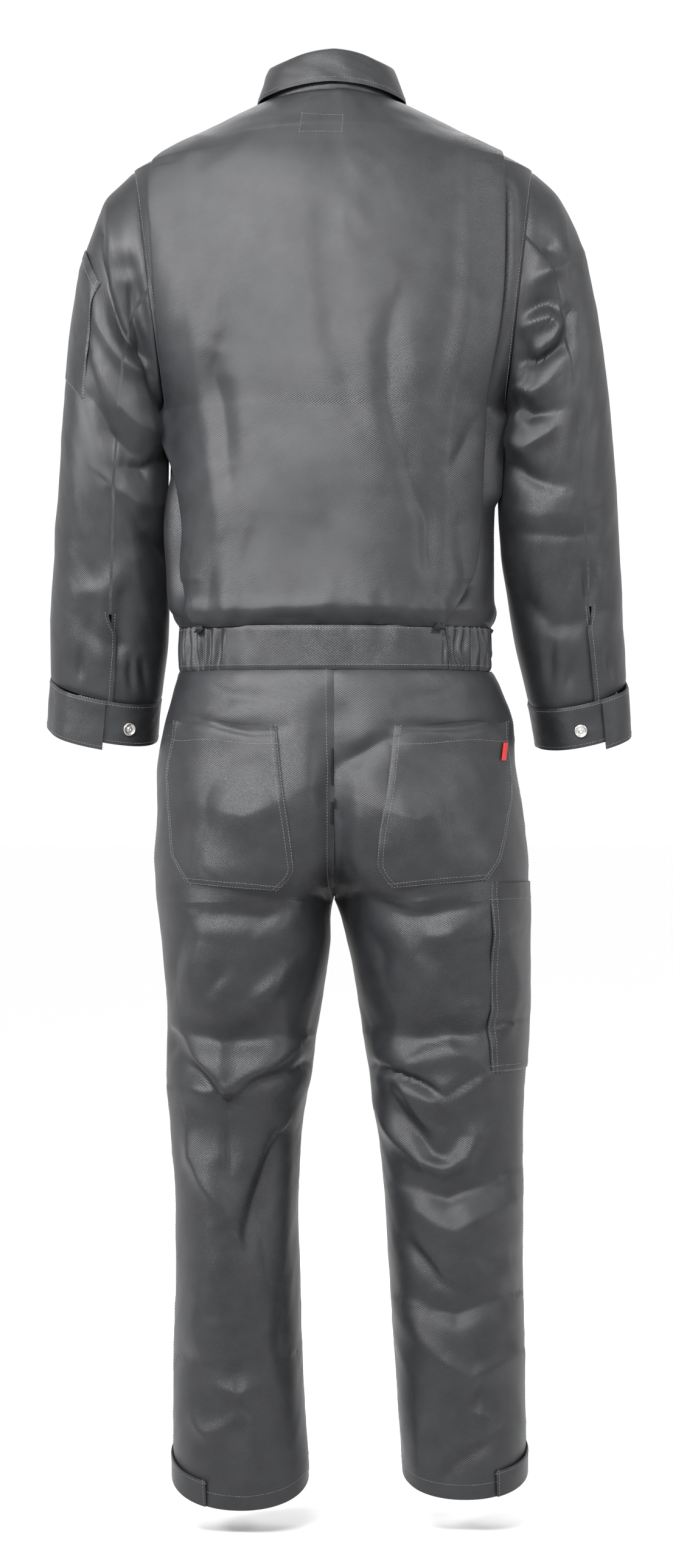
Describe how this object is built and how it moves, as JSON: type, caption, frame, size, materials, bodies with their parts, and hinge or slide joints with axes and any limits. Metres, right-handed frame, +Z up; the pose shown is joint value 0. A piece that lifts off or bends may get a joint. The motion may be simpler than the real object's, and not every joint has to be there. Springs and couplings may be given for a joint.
{
  "type": "boiler suit",
  "caption": "Long-sleeved boiler suit with an action back, gathered waistband, stand collar with fall, snap cuffs, hip pockets and straight legs, filled out as worn.",
  "frame": {"origin": "middle of the shoulder line, level with the two points where the neck seam meets the shoulder seams", "axes": "+Z up, +Y out of the garment's back, +X towards the wearer's left"},
  "size_m": [0.667, 0.3018, 1.6386],
  "materials": {
    "suit_cloth": "dark grey cotton blend twill with a soft broad sheen",
    "trim_cloth": "the same dark grey twill, doubled, on collar, band and cuffs",
    "red_cloth": "plain red woven tab",
    "snap_metal": "satin nickel snap fastener"
  },
  "bodies": {
    "root": {"back_centre": "suit_cloth", "front_placket": "suit_cloth", "collar_stand": "trim_cloth", "collar_fall": "trim_cloth", "waistband_back": "trim_cloth", "elastic_left": "trim_cloth", "waistband_front_left": "trim_cloth", "elastic_right": "trim_cloth", "waistband_front_right": "trim_cloth", "back_side_left": "suit_cloth", "front_left": "suit_cloth", "sleeve_left": "suit_cloth", "cuff_left": "trim_cloth", "snap_left": "snap_metal", "leg_back_left": "suit_cloth", "leg_front_left": "suit_cloth", "pocket_hip_left": "suit_cloth", "ankle_tab_left": "suit_cloth", "back_side_right": "suit_cloth", "front_right": "suit_cloth", "sleeve_right": "suit_cloth", "cuff_right": "trim_cloth", "snap_right": "snap_metal", "leg_back_right": "suit_cloth", "leg_front_right": "suit_cloth", "pocket_hip_right": "suit_cloth", "ankle_tab_right": "suit_cloth", "tool_pocket": "suit_cloth", "pen_pocket": "suit_cloth", "red_tab": "red_cloth"}
  },
  "joints": []
}
